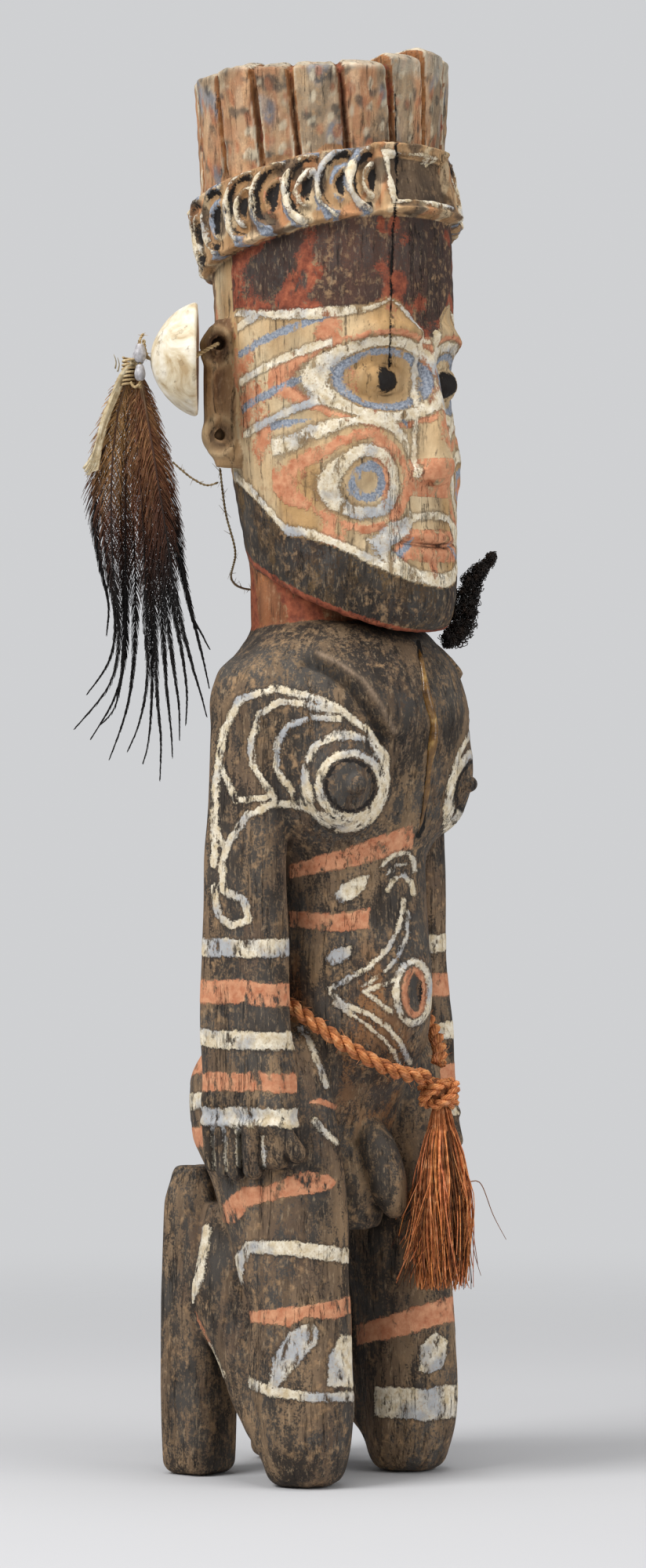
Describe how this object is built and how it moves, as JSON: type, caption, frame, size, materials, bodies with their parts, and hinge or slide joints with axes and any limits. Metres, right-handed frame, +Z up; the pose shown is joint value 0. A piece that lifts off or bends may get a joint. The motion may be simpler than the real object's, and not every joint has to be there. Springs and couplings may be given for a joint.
{
  "type": "carved ancestor figure",
  "caption": "Kneeling carved and painted wooden figure with slatted crown, a shell and plume ornament hung from one ear, a curly hair tuft, and a hip rope with a knotted tassel.",
  "frame": {"origin": "on the floor, at the middle of the whole object's box", "axes": "+Z up along the log; the figure faces -Y, and its own right-hand side is -X"},
  "size_m": [0.1746, 0.1553, 0.69],
  "materials": {
    "painted_wood": "dry hand-carved wood, worn earth paint",
    "resin": "glossy gum filling",
    "shell": "worn smooth",
    "seed": "hard polished seed",
    "cord": "twisted plant fibre",
    "dark_cord": "twisted dark fibre",
    "feather": "loose stringy barbs",
    "hair": "curly matted hair",
    "rope": "two-ply plant-fibre rope"
  },
  "bodies": {
    "figure": {"carved_figure": "painted_wood", "split_filling": "resin", "neck_string": "dark_cord", "guard_string": "cord", "tuft_tie": "dark_cord", "hip_rope": "rope", "rope_knot": "rope"},
    "ornament": {"ear_tie_cord": "cord", "shell_disc": "shell"},
    "plume": {"bead_cord": "cord", "plume_binding": "cord", "feather_long": "feather", "feather_outer": "feather", "feather_inner": "feather", "feather_back": "feather", "feather_front": "feather"},
    "bead_1": {"bead_front_top": "seed"},
    "bead_2": {"bead_front_low": "seed"},
    "bead_3": {"bead_back": "seed"},
    "tuft": {"hair_tuft": "hair"},
    "tassel_top": {"tassel_head": "rope"},
    "tassel": {"tassel_fibres": "rope"}
  },
  "joints": [
    {"name": "ornament_swing", "type": "hinge", "parent": "figure", "child": "ornament", "pos_m": [-0.04111, 0.02143, 0.5455], "axis": [0.6, 0.8, 0], "range_deg": [0, 25]},
    {"name": "plume_swing", "type": "hinge", "parent": "ornament", "child": "plume", "pos_m": [-0.06653, 0.04614, 0.5495], "axis": [0.766, 0.6428, 0], "range_deg": [0, 25]},
    {"name": "bead_1_spin", "type": "hinge", "parent": "plume", "child": "bead_1", "pos_m": [-0.07113, 0.04385, 0.5406], "axis": [0, 0, 1], "continuous": true},
    {"name": "bead_2_spin", "type": "hinge", "parent": "plume", "child": "bead_2", "pos_m": [-0.07113, 0.04385, 0.5313], "axis": [0, 0, 1], "continuous": true},
    {"name": "bead_3_spin", "type": "hinge", "parent": "plume", "child": "bead_3", "pos_m": [-0.06409, 0.05132, 0.5396], "axis": [0, 0, 1], "continuous": true},
    {"name": "tuft_swing", "type": "hinge", "parent": "figure", "child": "tuft", "pos_m": [0.05979, -0.04547, 0.428], "axis": [-0.495, -0.8689, 0], "range_deg": [0, 25]},
    {"name": "tassel_side_swing", "type": "hinge", "parent": "figure", "child": "tassel_top", "pos_m": [0.03129, -0.05887, 0.1786], "axis": [0, 1, 0], "range_deg": [-14, 4]},
    {"name": "tassel_fore_swing", "type": "hinge", "parent": "tassel_top", "child": "tassel", "pos_m": [0.03129, -0.05887, 0.168], "axis": [1, 0, 0], "range_deg": [-25, 0]}
  ]
}
